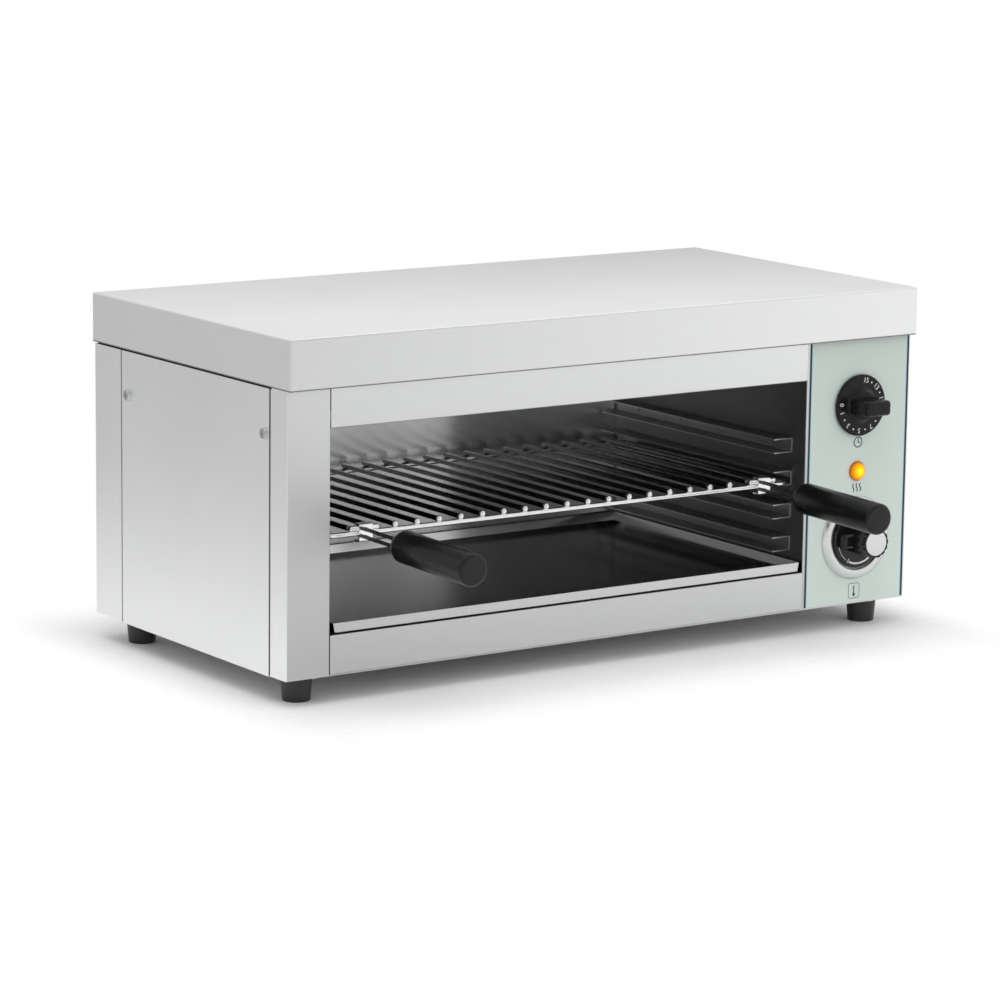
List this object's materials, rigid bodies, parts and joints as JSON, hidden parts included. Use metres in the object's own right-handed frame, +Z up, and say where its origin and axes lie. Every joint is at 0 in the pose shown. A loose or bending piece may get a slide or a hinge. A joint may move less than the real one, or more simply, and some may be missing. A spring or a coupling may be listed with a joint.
{
  "type": "cheese melter",
  "caption": "Counter-top stainless cheese melter: open-fronted grilling cavity with a handled sliding wire rack, drip tray and a control panel with timer and thermostat knobs.",
  "frame": {"origin": "under the middle of the whole object's bounding box, on the surface that the feet stand on", "axes": "+X to the right seen from the front, +Y to the back, +Z up"},
  "size_m": [0.6028, 0.4412, 0.28],
  "materials": {
    "satin_stainless": "satin",
    "cavity_steel": "bright",
    "chrome_wire": "polished",
    "black_steel": "satin",
    "black_grip": "satin",
    "black_knob": "gloss",
    "black_plastic": "matte",
    "white_plastic": "matte",
    "silver_trim": "satin",
    "amber_lens": "gloss",
    "printed_film": "satin",
    "element_sheath": "matte",
    "bushing": "ceramic",
    "lead_sleeve": "matte",
    "copper_alloy": "satin",
    "zinc_steel": "bright",
    "rubber": "satin"
  },
  "bodies": {
    "casing": {"base_plate": "satin_stainless", "cable_gland": "black_plastic", "cavity_back_wall": "cavity_steel", "cavity_floor": "cavity_steel", "cavity_roof": "cavity_steel", "cavity_wall_left": "cavity_steel", "cavity_wall_right": "cavity_steel", "control_panel": "satin_stainless", "cover_screws": "zinc_steel", "earth_stud": "copper_alloy", "element_bushings": "bushing", "element_hanger_left": "zinc_steel", "element_hanger_right": "zinc_steel", "foot_front_left": "rubber", "foot_front_right": "rubber", "foot_nuts": "zinc_steel", "foot_rear_left": "rubber", "foot_rear_right": "rubber", "foot_screws": "zinc_steel", "front_edge_screws": "zinc_steel", "front_lintel": "satin_stainless", "front_post_left": "satin_stainless", "front_sill": "satin_stainless", "gland_lock_nut": "black_plastic", "heating_element_front": "element_sheath", "heating_element_rear": "element_sheath", "internal_leads": "lead_sleeve", "panel_film": "printed_film", "pilot_lamp_holder": "black_plastic", "pilot_lamp_lens": "amber_lens", "pilot_lamp_nut": "zinc_steel", "rack_runners_left": "cavity_steel", "rack_runners_right": "cavity_steel", "rear_panel": "satin_stainless", "rear_panel_screws": "zinc_steel", "side_panel_left": "satin_stainless", "side_panel_right": "satin_stainless", "side_panel_screws": "zinc_steel", "terminal_block": "white_plastic", "thermostat_bezel": "silver_trim", "thermostat_body": "black_plastic", "thermostat_sensor": "copper_alloy", "timer_clockwork": "black_plastic", "top_cover": "satin_stainless"},
    "rack": {"rack_frame": "chrome_wire", "rack_bars": "chrome_wire", "handle_bracket_left": "chrome_wire", "handle_bracket_right": "chrome_wire", "handle_grip_left": "black_grip", "handle_grip_right": "black_grip", "handle_pin_left": "chrome_wire", "handle_pin_right": "chrome_wire", "handle_wire_left": "black_steel", "handle_wire_right": "black_steel"},
    "tray": {"drip_tray": "cavity_steel"},
    "timer": {"timer_knob": "black_knob", "timer_shaft": "zinc_steel"},
    "thermostat": {"thermostat_knob": "black_knob", "thermostat_knob_cap": "silver_trim", "thermostat_shaft": "zinc_steel"}
  },
  "joints": [
    {"name": "rack_slide", "type": "slide", "parent": "casing", "child": "rack", "axis": [0, -1, 0], "range_m": [0, 0.19]},
    {"name": "tray_slide", "type": "slide", "parent": "casing", "child": "tray", "axis": [0, -1, 0], "range_m": [0, 0.2]},
    {"name": "timer_turn", "type": "hinge", "parent": "casing", "child": "timer", "pos_m": [0.2455, -0.08539, 0.18649], "axis": [0, 1, 0], "range_deg": [-270, 0]},
    {"name": "thermostat_turn", "type": "hinge", "parent": "casing", "child": "thermostat", "pos_m": [0.2455, -0.08539, 0.07631], "axis": [0, 1, 0], "range_deg": [-210, 90]}
  ]
}
